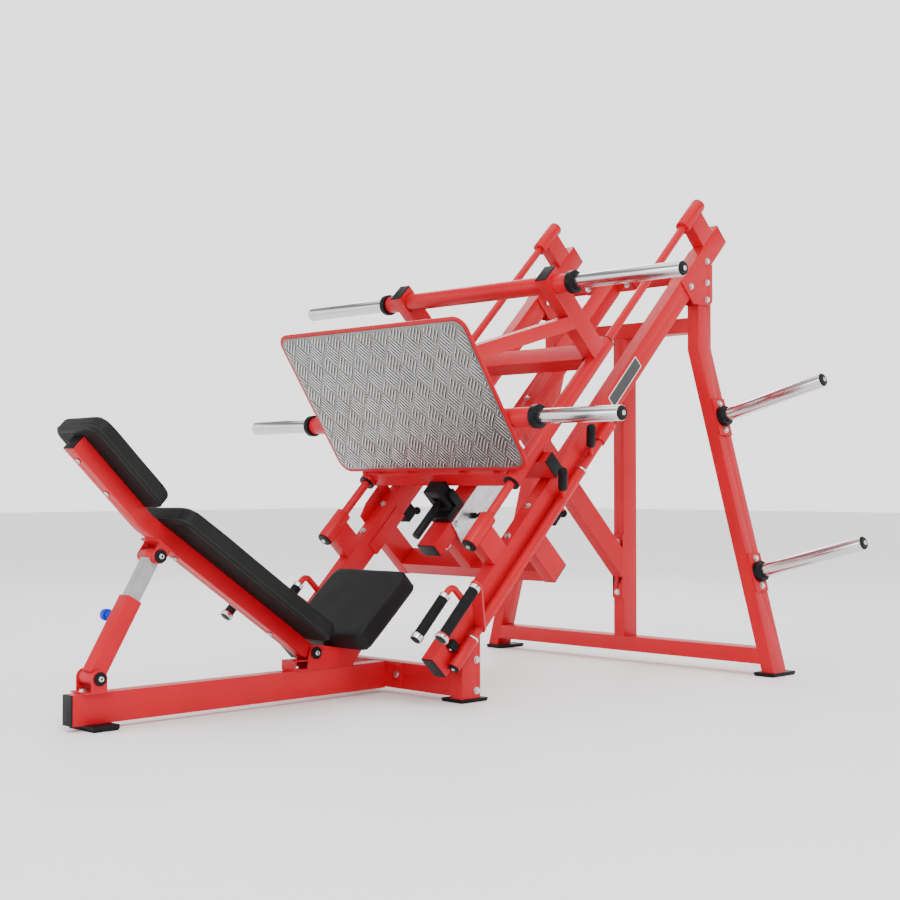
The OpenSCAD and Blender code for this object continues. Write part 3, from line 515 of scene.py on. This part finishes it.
TILT = math.radians(32)
for side, s, body in (("right", -1, "right_safety"), ("left", 1, "left_safety")):
    out = Y * (s * math.sin(TILT)) + V * math.cos(TILT)
    axis_p = rail(0, s * LEVER_Y, -LEVER_V)
    grip = axis_p + out * 0.249
    ribbed(f"lever_grip_{side}", grip + U * -0.3878, U, 182, 17.2, body)
    bell = [(12, 0), (20, 0.3), (23.4, 2), (24, 4), (23.4, 6), (19.4, 16), (17.4, 17.5), (12, 17.5)]
    lathe(f"lever_end_{side}", bell, grip + U * -0.4045, U, MATS["chrome"], body)
    lathe(f"lever_end_face_{side}", [(0.001, -1.2), (17, -1.0), (18.5, 0), (18.5, 1.5)],
          grip + U * -0.4045, U, MATS["black_plastic"], body)
    lathe(f"lever_collar_{side}", [(12, -0.3), (18.2, 0), (18.4, 2), (18.4, 13), (17, 16.2), (12, 16.5)],
          grip + U * -0.2055, U, MATS["chrome"], body)
    for k, u in enumerate((-239, 519)):
        ring = [(14.2, 0), (19.4, 0.4), (20, 1.5), (20, 7), (19, 8.4), (14.2, 8.6)]
        lathe(f"shaft_ring_{side}_{k}", ring, axis_p + U * (u / 1000), U, MATS["chrome"], body)
    fixed = rail(0, s * ROD_Y, -28)
    ribbed(f"fixed_grip_{side}", fixed + U * -0.3568, U, 151.5, 17.0, "frame")
    lathe(f"fixed_grip_face_{side}", [(0.001, -1.2), (15, -1.0), (16.5, 0), (16.5, 1.5)],
          fixed + U * -0.3752, U, MATS["black_plastic"], "frame")

# ---------- screw heads in the round caps ----------


def screw(name, origin, axis, radius, height, body):
    """Button head whose hexagon socket holds a black prism: painted shade in the recess."""
    lathe(name, [(0.001, height * 0.45), (radius * 0.40, height * 0.45), (radius * 0.43, height),
                 (radius * 0.72, height * 0.96), (radius * 0.95, height * 0.6), (radius, 0), (0.001, -0.5)],
          origin, axis, MATS["zinc_steel"], body, 32)
    # black hexagon at the bottom of the socket: painted shade
    lathe(name + "_socket_painted_shade", [(0.001, height * 0.5), (radius * 0.41, height * 0.5), (radius * 0.41, 0),
                             (0.001, 0)], origin, axis, BLACK_PRINT_AND_SHADE, body, 6)


H = Vector(JOINT["backrest_tilt"]["pos_m"])
L = Vector(JOINT["strut_swing"]["pos_m"])
STRUT = Vector(JOINT["strut_extend"]["axis"]).normalized()
TOP = L + STRUT * 0.3953
BACK_UP, BACK_OUT = slope_axes(34.9, True)
HEAD_UP, HEAD_OUT = slope_axes(44.9, True)
BACK = Vector((H.x - 0.011, 0, H.z + 0.029))
BEND = BACK + BACK_UP * 0.734
for side in (-1, 1):
    word = "right" if side < 0 else "left"
    screw(f"hinge_screw_{word}", H + Y * (side * 0.0395), Y * side, 9, 7, "frame")
    screw(f"strut_low_screw_{word}", L + Y * (side * 0.0495), Y * side, 9, 7, "frame")
    screw(f"strut_top_screw_{word}", TOP + Y * (side * 0.0495), Y * side, 9, 7, "backrest")
    screw(f"rod_screw_{word}", rail(1776, side * ROD_Y, 0), U, 8, 3.5, "frame")
    screw(f"shaft_screw_low_{word}", rail(-359, side * LEVER_Y, -LEVER_V), -U, 6.5, 3.5, "frame")
    screw(f"shaft_screw_top_{word}", rail(761, side * LEVER_Y, -LEVER_V), U, 6.5, 3.5, "frame")
    screw(f"bumper_screw_{word}", rail(-315, side * 400, -141), -U, 6, 3, "frame")
for k, (root, along, out, u) in enumerate((
        (BACK, BACK_UP, BACK_OUT, 0.144), (BACK, BACK_UP, BACK_OUT, 0.581),
        (BEND, HEAD_UP, HEAD_OUT, 0.144), (BEND, HEAD_UP, HEAD_OUT, 0.277))):
    screw(f"pad_screw_{k}", root + along * u - out * 0.05, -out, 8.4, 6.5, "backrest")
eye = lathe("strut_eye", [(18, -38.6), (22.3, -38.6), (22.3, 38.6), (18, 38.6)], TOP, Y, MATS["red_paint"],
            "strut_rod", 48)
front_face = STRUT.cross(Y)
# a black disc stands for the hole in the strut tube: painted shade
lathe("strut_hole_painted_shade", [(0.001, 0.2), (3.2, 0.2), (3.6, 0.0), (3.6, -0.5)],
      L + STRUT * 0.233 - front_face * 0.025, -front_face, BLACK_PRINT_AND_SHADE, "strut_tube", 24)

# ---------- label on the right rail ----------


def flat_plate(name, corners, normal, thick, mat, body):
    """A thin plate with the given outline."""
    mesh = bpy.data.meshes.new(name)
    bm = bmesh.new()
    low = [bm.verts.new(c) for c in corners]
    up = [bm.verts.new(c + normal * thick) for c in corners]
    n = len(corners)
    bm.faces.new(up)
    bm.faces.new(low[::-1])
    for i in range(n):
        bm.faces.new((low[i], low[(i + 1) % n], up[(i + 1) % n], up[i]))
    bmesh.ops.recalc_face_normals(bm, faces=bm.faces)
    bm.to_mesh(mesh)
    bm.free()
    return add(name, mesh, mat, body, smooth=False)


def label(u0, u1, v0, v1):
    """A plain black label with a pale border on the outer side of the right rail."""
    y = span("rails", Y)[0] * 1000

    def ring(inset, r):
        return [rail(px, y, py + (v0 + v1) / 2) for px, py in
                outline(u0 + inset, u1 - inset, (v1 - v0) / 2 - inset, r, 5)]
    flat_plate("label_border", ring(0, 6), -Y, 0.0003, WHITE, "frame")
    flat_plate("label_field", ring(3, 4), -Y, 0.0005, BLACK_PRINT_AND_SHADE, "frame")


label(830, 1050, -176, -127)

# ---------- stage, light and camera ----------


def floor():
    """A pale plain floor."""
    bpy.ops.mesh.primitive_plane_add(size=60, location=(0, 0, 0))
    obj = bpy.context.object
    obj.name = "floor"
    mat = material("floor_pale", (0.92, 0.92, 0.92), (0.95, 0.95, 0.95), (0.55, 0.65),
                   grain=2, bump=0.0)
    obj.data.materials.append(mat)


def area(name, where, target, size, power):
    """A rectangular soft light that looks at a target."""
    data = bpy.data.lights.new(name, "AREA")
    data.shape = "RECTANGLE"
    data.size, data.size_y = size
    data.energy = power
    obj = bpy.data.objects.new(name, data)
    bpy.context.scene.collection.objects.link(obj)
    obj.location = where
    obj.rotation_euler = (Vector(target) - Vector(where)).to_track_quat("-Z", "Y").to_euler()


def sky(world):
    """Studio surround: bright at the horizon and overhead, darker between them."""
    world.use_nodes = True
    tree = world.node_tree
    coord = tree.nodes.new("ShaderNodeTexCoord")
    split = tree.nodes.new("ShaderNodeSeparateXYZ")
    tree.links.new(coord.outputs["Generated"], split.inputs[0])
    ramp = tree.nodes.new("ShaderNodeValToRGB")
    tree.links.new(split.outputs["Z"], ramp.inputs[0])
    stops = ((0.0, 0.76), (0.36, 0.76), (0.46, 0.13), (0.70, 0.13), (0.84, 0.9))
    while len(ramp.color_ramp.elements) < len(stops):
        ramp.color_ramp.elements.new(0.5)
    for element, (at, value) in zip(ramp.color_ramp.elements, stops):
        element.position = at
        element.color = (value, value, value, 1)
    back = tree.nodes["Background"]
    tree.links.new(ramp.outputs[0], back.inputs[0])
    back.inputs[1].default_value = 2.9


floor()
area("key", (-2.5, -4.5, 4.5), (0, 0, 0.7), (3.0, 3.0), 260)
area("fill", (-5.5, 1.5, 3.0), (0, 0, 0.7), (3, 3), 70)
area("rim", (3.5, 3.5, 4.0), (0, 0, 0.8), (3, 2), 120)
world = bpy.data.worlds.new("studio")
bpy.context.scene.world = world
sky(world)

data = bpy.data.cameras.new("camera")
data.lens = 60.225
data.sensor_width = 36
camera = bpy.data.objects.new("camera", data)
bpy.context.scene.collection.objects.link(camera)
camera.location = (-3.52639, -3.79718, 0.70003)
yaw, pitch = math.radians(45.5591), math.radians(1.2939)
look = Vector((math.cos(yaw) * math.cos(pitch), math.sin(yaw) * math.cos(pitch), math.sin(pitch)))
camera.rotation_euler = look.to_track_quat("-Z", "Y").to_euler()
bpy.context.scene.camera = camera
